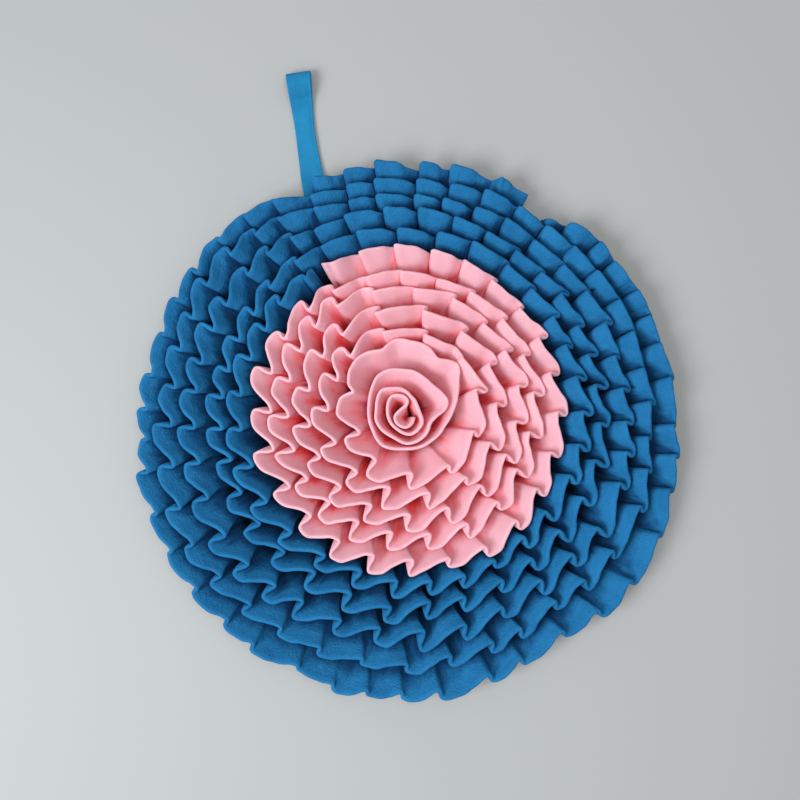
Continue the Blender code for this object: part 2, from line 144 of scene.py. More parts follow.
# One fold, clockwise from its crest to the next one: shares of the fold at the sewn edge and at the
# free edge, how much of the fold's tuck applies there, and how far out the cloth stands, over the
# largest wave.
Bend = namedtuple("Bend", "base free tuck out")
BENDS = (
    Bend(0.00, 0.00, 0.00, 0.92),
    Bend(0.10, 0.075, 0.03, 0.46),
    Bend(0.20, 0.08, 0.12, -0.40),
    Bend(0.31, 0.10, 0.15, -0.94),
    Bend(0.46, 0.27, 0.09, -0.94),
    Bend(0.64, 0.55, 0.03, -0.26),
    Bend(0.82, 0.79, 0.00, 0.80),
)
# The same fold with a broad rounded crest and a narrow trough.
KNUCKLES = (
    Bend(0.00, 0.00, 0.00, 0.86),
    Bend(0.09, 0.065, 0.03, 0.42),
    Bend(0.18, 0.085, 0.10, -0.45),
    Bend(0.28, 0.12, 0.12, -0.98),
    Bend(0.39, 0.25, 0.05, -0.80),
    Bend(0.53, 0.40, 0.00, 0.05),
    Bend(0.75, 0.67, 0.00, 0.90),
)
# The same fold where the rows lie flat: a tile that rises steeply and slopes down to the next one.
TILES = (
    Bend(0.00, 0.00, 0.00, 1.02),
    Bend(0.13, 0.025, 0.02, 0.60),
    Bend(0.20, 0.05, 0.10, -0.45),
    Bend(0.28, 0.085, 0.12, -1.10),
    Bend(0.42, 0.26, 0.03, -0.90),
    Bend(0.58, 0.54, -0.04, -0.50),
    Bend(0.78, 0.79, -0.04, 0.55),
)
TILE_FADE = (45.0, 40.0)  # the tilt from which folds turn into tiles, and over how much tilt
RIM_TILE = 0.80  # how long the rim's tiles are beside the others
RIM_TILES = [Bend(RIM_TILE * b.base, RIM_TILE * b.free, b.tuck, b.out) for b in TILES]
ROUND_PINK = 0.45  # how rounded the pink folds are at least
LAST_ROUND = 9.8  # up to this place

# How the folds are drawn along the spiral.
FOLD_SEED = 7
RIM_CREST = 208.5  # angle of a crest of the rim, from which its other folds are placed
RIM_END_FOLDS = 6  # folds of the short blue length
RIM_FOLDS = 25  # and from the notch to that crest
FOLD_WIDTHS = (0.72, 1.32)  # a rim fold's width beside the mean one
TOP_NARROWING = 0.13  # by what share folds are narrower at the top and wider at the bottom
BOLDNESS = (0.7, 1.3)  # how bold a fold is beside the mean one
INHERITED = 0.4  # the share of its boldness that a fold has from the one outside it
DRIFTS = (0.6, 1.4)  # how far a crest drifts beside the side's mean
RELAX_ROUNDS = 6  # how often, and how many to each side, crests spread where one is left out
RELAX_REACH = 3
EVEN_ROUNDS = 30  # how often folds are widened that are below this share of a neighbour's width
NARROWEST = 0.62
EVEN_STEP = 0.15
CLOSEST_ENDS = 0.008  # no crest lies nearer than this to a strip's ends
TUCK = (0.5, 1.35)  # how far folds are tucked under their neighbours
END_TUCK = -1.2  # the last fold's trough is drawn on towards the rolled end instead
UNTUCKED = 0.25  # folds up to this boldness aren't tucked
TUCK_RISE = 2.2  # how fast the tuck grows with boldness past it
STRETCH = 0.085  # how much higher or lower the free edge may stand from fold to fold, as a share
FIRST_LAG = 0.9  # the free edge of a strip's first fold follows its sewn edge at least this far
START_HEIGHT = 0.62  # the long blue strip's first corner is tucked away, lower than the rest
START_SPAN = 0.025

# How the folds are drawn in where rows would meet.
ROW_CLEARANCE = 0.6  # kept between a row and the row outside it
SETTLE_ROUNDS = 16
SETTLE_SPAN = 0.25  # how much of a turn is measured at a time
SEARCH_BEFORE = 0.12  # the stretch of the row outside that it is measured against
SEARCH_AFTER = 0.31
DRAWN_IN = 0.9  # how much of its boldness a crowded fold keeps in each round
FAINTEST = 0.12
# Where a row is measured: shares of the way to the next column, and up.
SETTLE_SAMPLES = [(s, h) for s in (0.0, 0.5) for h in (0.25, 0.5, 0.75, 1.0)]

# The rolled end of the pink strip, wound inwards: where its free edge goes, how far out its sewn edge
# lies, how high the free edge stands, and by how much further round the sewn edge is there.
CoilPoint = namedtuple("CoilPoint", "angle radius base height swing", defaults=(0,))
COIL = (
    CoilPoint(485.3, 47.4, 29.3, 29.9, -2.8),
    CoilPoint(477, 45.6, 28.8, 30.2, -2),
    CoilPoint(468, 44.6, 28.2, 30.4, -1),
    CoilPoint(457, 48.8, 27.2, 28.4),
    CoilPoint(445, 47.4, 26.0, 29.2),
    CoilPoint(431, 46.4, 24.8, 28.8),
    CoilPoint(419, 42.4, 23.6, 30.4),
    CoilPoint(404, 47.2, 22.2, 27.6),
    CoilPoint(393, 41.6, 21.4, 28.8),
    CoilPoint(381.5, 36.8, 20.4, 29.8),
    CoilPoint(366, 31.6, 19.2, 30.6),
    CoilPoint(346, 26.8, 18.2, 31.4),
    CoilPoint(323, 24.5, 17.2, 32.0),
    CoilPoint(290, 22.4, 15.6, 32.5),
    CoilPoint(238, 23.8, 13.8, 32.5),
    CoilPoint(200, 22.6, 13.2, 32.5),
    CoilPoint(167, 23.4, 13.0, 32.5),
    CoilPoint(134, 28.6, 12.8, 31.5),
    CoilPoint(112, 30.8, 12.6, 31.0),
    CoilPoint(75, 28.4, 12.2, 31.0),
    CoilPoint(44, 26.4, 11.8, 31.5),
    CoilPoint(21, 29.0, 11.4, 31.0),
    CoilPoint(8, 26.6, 11.0, 31.5),
    CoilPoint(-2, 20.6, 10.5, 32.0),
    CoilPoint(-18, 17.6, 10.0, 32.5),
    CoilPoint(-44, 18.5, 9.4, 32.5),
    CoilPoint(-85, 18.4, 8.8, 32.5),
    CoilPoint(-152, 17.6, 8.3, 32.5),
    CoilPoint(-187, 18.4, 8.0, 32.5),
    CoilPoint(-226, 21.6, 7.8, 32.0),
    CoilPoint(-262, 17.2, 7.6, 32.5),
    CoilPoint(-290, 12.6, 7.2, 33.0),
    CoilPoint(-318, 10.4, 4.8, 33.0),
    CoilPoint(-384, 12.6, 4.6, 33.0),
    CoilPoint(-431, 13.2, 4.9, 33.0),
    CoilPoint(-473, 10.3, 4.8, 33.0),
    CoilPoint(-518, 10.0, 4.6, 33.0),
    CoilPoint(-561, 12.0, 4.4, 33.0),
    CoilPoint(-595, 14.6, 4.0, 32.5),
    CoilPoint(-622, 12.6, 3.0, 32.5),
    CoilPoint(-640, 9.8, 2.0, 33.0, -10),
    CoilPoint(-640, 6.6, 2.0, 33.0, -52),
    CoilPoint(-594, 4.2, 2.7, 33.0, -126),
    CoilPoint(-534, 6.4, 2.8, 33.0, -219),
    CoilPoint(-490, 7.2, 2.4, 33.0, -295),
    CoilPoint(-446, 8.0, 2.8, 32.5, -342),
    CoilPoint(-408, 7.4, 3.2, 31.5, -382),
    CoilPoint(-372, 6.4, 3.4, 31.0, -420),
)
ROSETTE_MIDDLE = (-3.0, 9.9)
COIL_STEPS = 2  # columns from one point of the coil to the next
COIL_SEAT = 0.48  # how far its sewn edge stands over the gap, in thicknesses of the cloth
RAISED = 0.15  # how far the other sewn edges stand off the disc beyond the gap

# How finely the cloth is drawn: the longest step and the largest turn from one column to the next,
# rows from the sewn edge to the free one, and points round the free edge.
LONGEST_STEP = 2.4
LARGEST_TURN = 0.40
CURVE_STEPS = 10
HEIGHT_STEPS = 7
ROW_SPACING = 0.7  # below 1 the rows are closer together towards the free edge, which shows
EDGE_STEPS = 4
EDGE_ROUNDING = 0.85  # height of the rounded free edge, over half the cloth's thickness

# How far the strip bulges up or sags between its edges, on the upright side and on the flat side.
BOW = (-1.2, 1.2)
FLAT_SIDE = 60.0  # the rows lie flattest at this angle, and are most upright across from it
FLAT_POWER = 1.3
MAT_MIDDLE_Y = 12.0
# Unevenness of the cloth's face and of its free edge: height, and lengths of the ripples.
FACE_RIPPLES = (0.35, (9.0, 14.0, 23.0, 37.0))
EDGE_RIPPLES = (0.5, (11.0, 19.0, 31.0))
RIPPLE_TURN = 6.28  # a full turn of their waves, in radians
RIPPLE_SLANT = 0.6  # how far they run along the strip at most, while they cross it
RIPPLE_CROSS = 2.3  # a ripple's length up the strip beside its length along it
RIPPLE_HEIGHT = 30  # the strip's width as they see it

# The strips as drawn: thickness with the nap, seed of the unevenness, and cut width by length.
Strip = namedtuple("Strip", "name thickness seed cut")
BLUE_END = Strip("blue_end_cloth", 2.7, 5, (0.031, 0.165))
BLUE = Strip("blue_cloth", 2.7, 6, (0.031, 5.05))
PINK = Strip("pink_cloth", 2.0, 7, (0.032, 2.94))

LOOP_SHEET = 1.3
LOOP_ROOT = (-59.3, 142.5)
LOOP_TIP = (-72.9, 234.6)
# Widths of the strap at shares of its length from the root, and how far its middle bends aside.
LOOP_WIDTHS = ((0.0, 13.2), (0.22, 15.0), (0.42, 13.6), (0.62, 12.8), (0.82, 14.8), (1.0, 16.5))
LOOP_BEND = 1.2
# Half a section of the strap, over half its width and half its thickness. The dip is the stitching.
LOOP_SECTION = (
    (-1.0, 0.55),
    (-0.93, 0.9),
    (-0.8, 1.0),
    (-0.3, 1.0),
    (0.3, 1.0),
    (0.72, 1.0),
    (0.78, 0.72),
    (0.84, 1.0),
    (0.95, 0.9),
    (1.0, 0.55),
)
LOOP_STEPS = 5
LOOP_UPPER_START = 4.5  # the upper layer ends short of the lower one
LOOP_ON_DISC = (10.0, 20.0)  # how far from its root the strap lies on the disc, and on the floor
LOOP_OFF_DISC = 29.0
LOOP_EYE_LENGTH = 17.0  # the open eye at the tip, and the bends round it
LOOP_EYE_HEIGHT = 7.0
LOOP_EYE_BEND = 4.0
LOOP_EYE_CORNER = 1.2
LOOP_EYE_SHOULDER = (5.0, 1.0)  # past the eye's start, and below its top
LOOP_EYE_NECK = 1.6  # how far the upper layer has risen where the eye starts
LOOP_EYE_RISE = 7.0  # how far before that it starts to rise

DISC_AROUND = 180
DISC_RINGS = (40.0, 90.0, 130.0)
DISC_EDGE = ((0.9, 0.0), (0.25, 0.25), (0.0, 0.7))  # the softened rim: in from the radius, and up

# Directions looked along for how open a point lies, as rings of (height of the look, number).
LOOKS = ((0.92, 3), (0.70, 6), (0.38, 8))
LOOK_START = 0.0004  # where a look starts off the cloth, and how far it goes, in metres
LOOK_REACH = 0.030
LOOK_GRAZING = 0.05  # looks flatter to the cloth than this aren't counted
FEWEST_LOOKS = 6

# What the cloths look like: the two colours of their mottling, (fineness, strength) of nap and
# creases, and painted shade: the share of the colour that is left at each openness, deep in the folds
# first.
Fabric = namedtuple("Fabric", "name dark light nap creases sheen softness roughness depths")
BLUE_FLEECE = Fabric(
    "blue_fleece_cloth",
    dark=(0.011, 0.128, 0.305),
    light=(0.017, 0.175, 0.395),
    nap=(900.0, 0.6),
    creases=(420.0, 0.8),
    sheen=0.2,
    softness=0.0,
    roughness=0.9,
    # painted shade: the blue goes near black deep in the folds
    depths=((0.12, (0.0, 0.01, 0.03)), (0.50, (0.27, 0.32, 0.40)), (0.85, (1.0, 1.0, 1.0))),
)
PINK_BRUSHED = Fabric(
    "pink_brushed_cloth",
    dark=(0.865, 0.42, 0.485),
    light=(0.93, 0.475, 0.54),
    nap=(1100.0, 0.16),
    creases=(120.0, 0.10),
    sheen=0.15,
    softness=0.55,
    roughness=0.8,
    # painted shade: the pink goes deep red and darker deep in the folds
    depths=((0.06, (0.95, 0.11, 0.10)), (0.34, (1.0, 0.70, 0.70)), (0.60, (0.93, 0.93, 0.93))),
)
# painted light: the strap is a lighter copy of the blue fleece, for the light it catches lying low and
# facing up
STRAP_PAINTED_LIGHTER = Fabric(
    "strap_cloth",
    dark=(0.012, 0.165, 0.34),
    light=(0.017, 0.225, 0.43),
    nap=(900.0, 0.4),
    creases=(300.0, 0.5),
    sheen=0.25,
    softness=0.0,
    roughness=0.85,
    depths=(),
)
FELT = Fabric(
    "felt_cloth",
    dark=(0.014, 0.10, 0.25),
    light=(0.022, 0.135, 0.32),
    nap=(700.0, 0.5),
    creases=(200.0, 0.2),
    sheen=0.1,
    softness=0.0,
    roughness=0.95,
    depths=(),
)
SPECULAR = 0.12
SHEEN_ROUGHNESS = 0.45
SCATTER_RADIUS = (1.0, 0.40, 0.36)  # how far light spreads inside the cloth, times the scale
SCATTER_SCALE = 0.006
MOTTLE_SCALE = 60.0
MOTTLE_STOPS = (0.3, 0.7)  # where the mottling is all dark and all light
NAP_DEPTH = 0.0006
CREASE_DEPTH = 0.0012

FLOOR_HALF = 4.0
FLOOR_COLOUR = (0.375, 0.38, 0.378, 1)
FLOOR_ROUGHNESS = 0.6
SKY_COLOUR = (0.93, 0.96, 1.0, 1)
SKY_STRENGTH = 0.45
Light = namedtuple("Light", "name position target size power colour")
LIGHTS = (
    Light("window", (-0.80, -0.36, 1.10), (0, 0.05, 0), 0.7, 17.5, (0.89, 0.955, 1.0)),
    Light("fill", (0.22, 0.22, 2.2), (0, 0, 0), 1.3, 19.5, (1.0, 0.98, 0.955)),
)
CAMERA_POSITION = (-0.0058, 0.0194, 0.7175)
CAMERA_SENSOR = 36
VIEW_SLOPE = 0.259 / 0.70  # half the width of the view, over its distance


def clamped(value):
    return min(1.0, max(0.0, value))


def ramp(at, fade):
    """0 where the fade starts and 1 where it is over, for a fade of (start, span)."""
    start, span = fade
    return clamped((at - start) / span)


def hermite(v0, v1, slope0, slope1, f):
    """A smooth step from v0 to v1 with the given slopes, a share f of the way."""
    return (
        v0 * (1 + 2 * f) * (1 - f) ** 2
        + slope0 * f * (1 - f) ** 2
        + v1 * f * f * (3 - 2 * f)
        + slope1 * f * f * (f - 1)
    )


def spline(knots, at):
    """Smooth curve through (place, value) knots, read at a place."""
    last = len(knots) - 2
    i = next((n for n in range(last) if at < knots[n + 1][0]), last)
    (p0, v0), (p1, v1) = knots[i], knots[i + 1]
    before = knots[i - 1] if i > 0 else knots[i]
    after = knots[i + 2] if i < last else knots[i + 1]
    slope0 = (v1 - before[1]) / (p1 - before[0])
    slope1 = (after[1] - v0) / (after[0] - p0)
    span = p1 - p0
    return hermite(v0, v1, slope0 * span, slope1 * span, clamped((at - p0) / span))


RADIUS_KNOTS = [
    (k + place, getattr(turn, name))
    for k, turn in enumerate(TURNS)
    for name, place in STATIONS.items()
]
CENTRE_KNOTS = [(k, turn.centre_y) for k, turn in enumerate(TURNS)]
HEIGHT_KNOTS = [(k, turn.height) for k, turn in enumerate(TURNS)]
SIDE_KNOTS = {
    name: [(side.place, getattr(side, name)) for side in SIDES] for name in Side._fields[1:]
}
LEAN_KNOTS = [
    (k + place, lean)
    for k, turn in enumerate(TURNS)
    for place, lean in ((0.0, turn.lean), (0.5, turn.lean_south))
]


def radius_at(place):
    """Mean radius of the free edge about the turn's centre, with the blue rows drawn out."""
    share = max(0.0, 1 - place / SPREAD_TURNS)
    return spline(RADIUS_KNOTS, place) + share * spline(SPREADS, place % 1)


def angle_at(place):
    return math.radians(SEAM_ANGLE - 360 * place)


def centre_at(place):
    """How far up the mat the centre of the turn lies."""
    return spline(CENTRE_KNOTS, place)


def lean_at(place):
    return math.radians(spline(LEAN_KNOTS, place))


def side_at(name, place):
    """A column of the table of sides."""
    return spline(SIDE_KNOTS[name], place % 1)


def tilt_at(place):
    """How much a wave goes down as it goes out."""
    less = side_at("inner", place) * ramp(place, INNER_FADE)
    less = max(less, CENTRE_TILT * ramp(place, CENTRE_FADE))
    return math.radians(side_at("tilt", place) * (1 - less))


def reach_at(place):
    """How much further out the free edge lies than the sewn edge."""
    return spline(HEIGHT_KNOTS, place) * math.sin(lean_at(place))


def row_gap(place, base=False):
    """Distance to the row further in, at the free edge or at the sewn one."""
    gap = radius_at(place) - radius_at(place + 1)
    gap += (centre_at(place) - centre_at(place + 1)) * math.sin(angle_at(place))
    if base:
        gap -= reach_at(place) - reach_at(place + 1)
    return gap


def base_wave_at(place):
    """Largest wave of the sewn edge that keeps this row clear of the rows on both sides."""
    gap = row_gap(place, True)
    if place >= 1:
        gap = min(gap, row_gap(place - 1, True))
    room = 0.5 * (gap - CLOTH_THICKNESS / math.cos(lean_at(place)) - WAVE_CLEARANCE)
    return max(SMALLEST_BASE_WAVE, min(BASE_WAVE, room))


def crest_places(count, first, last, rng):
    """Places of the crests from first to last: folds are closer together at the top of the mat."""
    widths = []
    for n in range(count):
        middle = first + (last - first) * (n + 0.5) / count
        narrowing = 1 - TOP_NARROWING * math.sin(angle_at(middle))
        widths.append(rng.uniform(*FOLD_WIDTHS) * narrowing)
    scale = (last - first) / sum(widths)
    places = [first]
    for width in widths:
        places.append(places[-1] + width * scale)
    return places


def slackness(place):
    """How bold a fold is: the rim's are shallow, the second row's a little less so."""
    if place < 1:
        return side_at("rim", place)
    if place < 2:
        return side_at("second", place)
    return 1.0


def neighbours(row, n):
    """Places of the crests before and after one of a closed row."""
    before = row[n - 1][0] - (1 if n == 0 else 0)
    after = row[(n + 1) % len(row)][0] + (1 if n == len(row) - 1 else 0)
    return before, after


def most_crowded(row):
    """The crest of a closed row whose two neighbours are nearest each other."""
    spans = []
    for n in range(len(row)):
        before, after = neighbours(row, n)
        spans.append((after - before, n))
    return min(spans)[1]


def relax(row, middle):
    """Spreads the crests near one of a closed row more evenly."""
    for step in range(-RELAX_REACH, RELAX_REACH + 1):
        n = (middle + step) % len(row)
        before, after = neighbours(row, n)
        row[n][0] = 0.5 * row[n][0] + 0.25 * (before + after)


def next_row(row, count, rng):
    """The crests one row further in: each lies a little back from its neighbour outside.

    Where the row has fewer folds, the narrowest are left out and their neighbours spread.
    """
    inner = []
    for (place, boldness), after in zip(row, [c[0] for c in row[1:]] + [row[0][0] + 1]):
        shift = (after - place) * side_at("drift", place) * rng.uniform(*DRIFTS)
        own = (1 - INHERITED) * rng.uniform(*BOLDNESS)
        inner.append([place + 1 - shift, INHERITED * boldness + own])
    while len(inner) > count:
        left_out = most_crowded(inner)
        del inner[left_out]
        for _ in range(RELAX_ROUNDS):
            relax(inner, left_out)
    return inner


def even_out(crests):
    """Widens folds that came out far narrower than their neighbours."""
    for _ in range(EVEN_ROUNDS):
        for n in range(1, len(crests) - 1):
            before = crests[n][0] - crests[n - 1][0]
            after = crests[n + 1][0] - crests[n][0]
            if min(before, after) < NARROWEST * max(before, after):
                crests[n][0] += EVEN_STEP * (after - before)


def spiral_folds():
    """Every crest of the spiral as [place, boldness], from the rim to the rolled end."""
    rng = random.Random(FOLD_SEED)
    anchor = (SEAM_ANGLE - RIM_CREST) % 360 / 360
    outer = crest_places(RIM_END_FOLDS, 0.0, BLUE_END_LAST, rng)
    outer += crest_places(RIM_FOLDS, BLUE_FIRST, anchor, rng)
    others = TURNS[0].folds - RIM_END_FOLDS - RIM_FOLDS
    outer += crest_places(others, anchor, 1.0, rng)[1:-1]
    row = [[place, rng.uniform(*BOLDNESS)] for place in outer]
    rows = [row]
    for turn in TURNS[1:-1]:
        row = next_row(row, turn.folds, rng)
        rows.append(row)
    crests = rows[0] + sorted(crest for row in rows[1:] for crest in row)
    even_out(crests)
    return crests


@dataclass
class Fold:
    """One fold of a strip: where it starts and ends, and how bold, tucked and high it is."""

    start: float
    end: float
    boldness: float
    tuck: float
    height: float = 1.0


def strip_folds(crests, first, last):
    """The folds of one strip, from a place to a place."""
    rng = random.Random(round(first * 1000))
    uneven = random.Random(FOLD_SEED)
    inside = [c for c in crests if first + CLOSEST_ENDS < c[0] < last - CLOSEST_ENDS]
    places = [first] + [c[0] for c in inside] + [last]
    boldnesses = [1.0] + [c[1] for c in inside]
    folds = []
    for start, end, boldness in zip(places, places[1:], boldnesses):
        slack = slackness(start)
        folds.append(Fold(start, end, boldness * slack, rng.uniform(*TUCK) * slack))
    for fold in folds:
        fold.height = 1 + uneven.uniform(-STRETCH, STRETCH)
    folds[-1].tuck = END_TUCK
    return folds


def strip_column(place_base, place_free, wave, height):
    """The base and free point of the strip where the cloth stands this far out of its row."""
    points = []
    for place, base in ((place_base, True), (place_free, False)):
        angle = angle_at(place)
        lean = lean_at(place)
        radius = radius_at(place) - reach_at(place)
        z = BACKING_THICKNESS + GAP + 0.5 * CLOTH_THICKNESS * math.sin(lean) + RAISED
        if base:
            radius += wave * base_wave_at(place)
        else:
            tilt = tilt_at(place)
            out = wave * LARGEST_WAVE
            radius += height * reach_at(place) + out * math.cos(tilt)
            z += height * spline(HEIGHT_KNOTS, place) * math.cos(lean) - out * math.sin(tilt)
        y = centre_at(place) + radius * math.sin(angle)
        points.append((radius * math.cos(angle), y, z))
    return points


def blend(bends, others, share):
    return [Bend(*(a + share * (b - a) for a, b in zip(*pair))) for pair in zip(bends, others)]


def bends_at(place):
    """The bends of a fold, between the tables."""
    tile = ramp(math.degrees(tilt_at(place)), TILE_FADE)
    if place < 1:
        return blend(KNUCKLES, RIM_TILES, tile)
    rounding = side_at("round", place)
    if PINK_FIRST <= place < LAST_ROUND:
        rounding = max(ROUND_PINK, rounding)
    return blend(blend(BENDS, KNUCKLES, rounding), TILES, tile)


def strip_columns(folds, start_height=1.0, start_span=0.0):
    """Columns as points. Near the start the strip may be lower, where its corner is tucked away."""
    first = folds[0].start
    made = []
    for fold, following in zip(folds, folds[1:] + folds[-1:]):
        start = fold.start
        width = fold.end - start
        tuck = fold.tuck * clamped((fold.boldness - UNTUCKED) * TUCK_RISE)
        for bend in bends_at(start):
            base = start + bend.base * width
            free = start + (bend.free - tuck * bend.tuck) * width
            if start == first:
                free = max(free, start + bend.base * FIRST_LAG * width)
            height = fold.height + (following.height - fold.height) * bend.base
            if start_span and base - first < start_span:
                height *= start_height + (1 - start_height) * (base - first) / start_span
            made.append(strip_column(base, free, bend.out * fold.boldness, height))
    last = folds[-1]
    made.append(strip_column(last.end, last.end, last.boldness, last.height))
    return made


def all_columns(strips, coil):
    """The columns of all strips and the coil, with the place and the fold that each belongs to."""
    columns, places, sources = [], [], []
    for strip in strips:
        for n, column in enumerate(strip_columns(strip)):
            fold = strip[min(n // len(BENDS), len(strip) - 1)]
            columns.append(column)
            places.append(fold.start)
            sources.append(fold)
    columns += coil
    places += [COIL_FIRST + n / len(coil) for n in range(len(coil))]
    sources += [None] * len(coil)
    return columns, places, sources


def row_tree(columns, places, low, high):
    """A search tree over the part of the strips whose folds start from low to high."""
    chosen = [n for n, place in enumerate(places) if low <= place < high]
    if len(chosen) < 2:
        return None, []
    points = []
    for n in chosen:
        points += [Vector(columns[n][0]), Vector(columns[n][1])]
    faces = [(2 * n, 2 * n + 2, 2 * n + 3, 2 * n + 1) for n in range(len(chosen) - 1)]
    return BVHTree.FromPolygons(points, faces), chosen


def crowded_columns(columns, places):
    """Numbers of the columns that stand too near the next row, on either side of the gap."""
    crowded = set()
    nearest = CLOTH_THICKNESS + ROW_CLEARANCE
    for stretch in range(int(COIL_FIRST / SETTLE_SPAN)):
        here = SETTLE_SPAN * stretch
        tree, chosen = row_tree(columns, places, here - SEARCH_BEFORE, here + SEARCH_AFTER)
        start = here + 1
        inner = [n for n, place in enumerate(places) if start <= place < start + SETTLE_SPAN]
        for n, m in zip(inner, inner[1:]):
            for share, height in SETTLE_SAMPLES:
                low = Vector(columns[n][0]).lerp(Vector(columns[m][0]), share)
                high = Vector(columns[n][1]).lerp(Vector(columns[m][1]), share)
                found = tree.find_nearest(low.lerp(high, height), nearest)
                if found[0] is not None:
                    crowded.add(n)
                    crowded.add(chosen[found[2]])
    return crowded


def settle(strips, coil):
    """Draws the folds in until every row is clear of the row outside it."""
    for _ in range(SETTLE_ROUNDS):
        columns, places, sources = all_columns(strips, coil)
        crowded = crowded_columns(columns, places)
        tight = {id(sources[n]): sources[n] for n in crowded if sources[n]}
        for fold in tight.values():
            fold.boldness = max(FAINTEST, DRAWN_IN * fold.boldness)
        if not tight:
            break


def coil_columns():
    """Columns of the rolled end, on smooth curves through the coil's points."""
    low = BACKING_THICKNESS + GAP + COIL_SEAT * CLOTH_THICKNESS
    knots = []
    for point in COIL:
        sewn = math.radians(point.angle + point.swing)
        free = math.radians(point.angle)
        knots.append((point.base * math.cos(sewn), point.base * math.sin(sewn), low))
        knots.append((point.radius * math.cos(free), point.radius * math.sin(free), point.height))
    lines = [
        [[(n, knot[axis]) for n, knot in enumerate(knots[side::2])] for axis in range(3)]
        for side in (0, 1)
    ]
    made = []
    for n in range(1, (len(COIL) - 1) * COIL_STEPS + 1):
        column = []
        for line in lines:
            x, y, z = [spline(axis_knots, n / COIL_STEPS) for axis_knots in line]
            column.append((ROSETTE_MIDDLE[0] + x, ROSETTE_MIDDLE[1] + y, z))
        made.append(column)
    return made


def smooth_line(points, steps):
    """Points on a centripetal curve through the given ones."""
    p = np.asarray(points, float)
    p = np.vstack([2 * p[:1] - p[1:2], p, 2 * p[-1:] - p[-2:-1]])
    step = np.sqrt(np.linalg.norm(np.diff(p, axis=0), axis=1)).clip(1e-3)[:, None]
    d0, d1, d2 = step[:-2], step[1:-1], step[2:]
    p0, p1, p2, p3 = p[:-3], p[1:-2], p[2:-1], p[3:]
    m1 = d1 * ((p1 - p0) / d0 - (p2 - p0) / (d0 + d1) + (p2 - p1) / d1)
    m2 = d1 * ((p2 - p1) / d1 - (p3 - p1) / (d1 + d2) + (p3 - p2) / d2)
    made = [hermite(p1, p2, m1, m2, n / steps) for n in range(steps)]
    line = np.stack(made, axis=1).reshape(-1, 3)
    return np.vstack([line, p[-2:-1]])


def unit(vectors):
    return vectors / np.linalg.norm(vectors, axis=-1, keepdims=True).clip(1e-9)


def tangents(lines):
    """Mean unit direction at each point along the first axis."""
    step = unit(np.diff(lines, axis=0))
    return unit(np.concatenate([step[:1], step]) + np.concatenate([step, step[-1:]]))


def ripple(u, v, rng, height, lengths):
    """Smooth seeded unevenness over a strip, from waves of the given lengths."""
    total = np.zeros_like(u)
    for length in lengths:
        a, b = rng.uniform(0, RIPPLE_TURN, 2)
        slant = rng.uniform(-RIPPLE_SLANT, RIPPLE_SLANT)
        along = np.sin(RIPPLE_TURN * (u + slant * v) / length + a)
        total += along * np.cos(RIPPLE_TURN * v / (RIPPLE_CROSS * length) + b)
    return height * (total / len(lengths))


def fine_columns(columns):
    """The base and free lines of the cloth, closest together where the free edge turns."""
    base = smooth_line([c[0] for c in columns], CURVE_STEPS)
    free = smooth_line([c[1] for c in columns], CURVE_STEPS)
    step = np.diff(free, axis=0)
    length = np.linalg.norm(step, axis=1)
    ahead = unit(step)
    turn = np.arccos(np.clip((ahead[1:] * ahead[:-1]).sum(axis=1), -1, 1))
    turn = 0.5 * (np.append(turn, 0) + np.insert(turn, 0, 0))
    measure = np.append(0, np.cumsum(length / LONGEST_STEP + turn / LARGEST_TURN))
    at = np.interp(np.linspace(0, measure[-1], int(measure[-1])), measure, np.arange(len(free)))
    low = np.minimum(at.astype(int), len(free) - 2)
    share = (at - low)[:, None]
    return [line[low] * (1 - share) + line[low + 1] * share for line in (base, free)]


def middle_sheet(base, free, rise, seed):
    """The middle of the cloth as rows of points, bowed and a little uneven."""
    v = np.linspace(0.0, 1.0, HEIGHT_STEPS)[None, :, None] ** ROW_SPACING
    sheet = base[:, None] * (1 - v) + free[:, None] * v
    normal = unit(np.cross(tangents(sheet), rise))
    rng = np.random.RandomState(seed)
    u = np.concatenate([[0], np.cumsum(np.linalg.norm(np.diff(free, axis=0), axis=1))])
    uu, vv = np.meshgrid(u, RIPPLE_HEIGHT * v[0, :, 0], indexing="ij")
    uneven = ripple(uu, vv, rng, *FACE_RIPPLES)[:, :, None]
    angle = np.arctan2(free[:, 1] - MAT_MIDDLE_Y, free[:, 0]) - math.radians(FLAT_SIDE)
    flat = (0.5 + 0.5 * np.cos(angle))[:, None, None] ** FLAT_POWER
    bow = (BOW[0] + (BOW[1] - BOW[0]) * flat) * 4 * v * (1 - v)
    sheet = sheet + normal * (uneven * v + bow)
    sheet[:, -1] += rise[:, 0] * ripple(u, 0 * u, rng, *EDGE_RIPPLES)[:, None]
    return sheet


def build_cloth(strip, columns):
    """A closed sheet of cloth with a rounded free edge, through control columns of (base, free).

    The sheet is thin, so its sides are its middle moved half a thickness to each side.
    """
    base, free = fine_columns(columns)
    rise = unit(free - base)[:, None]
    sheet = middle_sheet(base, free, rise, strip.seed)
    half = 0.5 * strip.thickness
    normal = unit(np.cross(tangents(sheet), np.gradient(sheet, axis=1)))
    top = rise[:, 0] * half * EDGE_ROUNDING
    sheet[:, -1] -= top
    rows = range(HEIGHT_STEPS)
    ring = [sheet[:, j] + normal[:, j] * half for j in rows]
    for n in range(1, EDGE_STEPS + 1):
        turn = math.pi * n / (EDGE_STEPS + 1)
        side = normal[:, -1] * half * math.cos(turn)
        ring.append(sheet[:, -1] + side + top * math.sin(turn))
    ring += [sheet[:, j] - normal[:, j] * half for j in reversed(rows)]
    return closed_mesh(strip.name, np.stack(ring, axis=1))


def look_directions():
    """Unit directions over the upper half of the view from a point, in rings."""
    made = []
    for height, number in LOOKS:
        flat = math.sqrt(1 - height * height)
        for n in range(number):
            turn = 2 * math.pi * (n + 0.5 * height) / number
            made.append(Vector((flat * math.cos(turn), flat * math.sin(turn), height)))
    return made


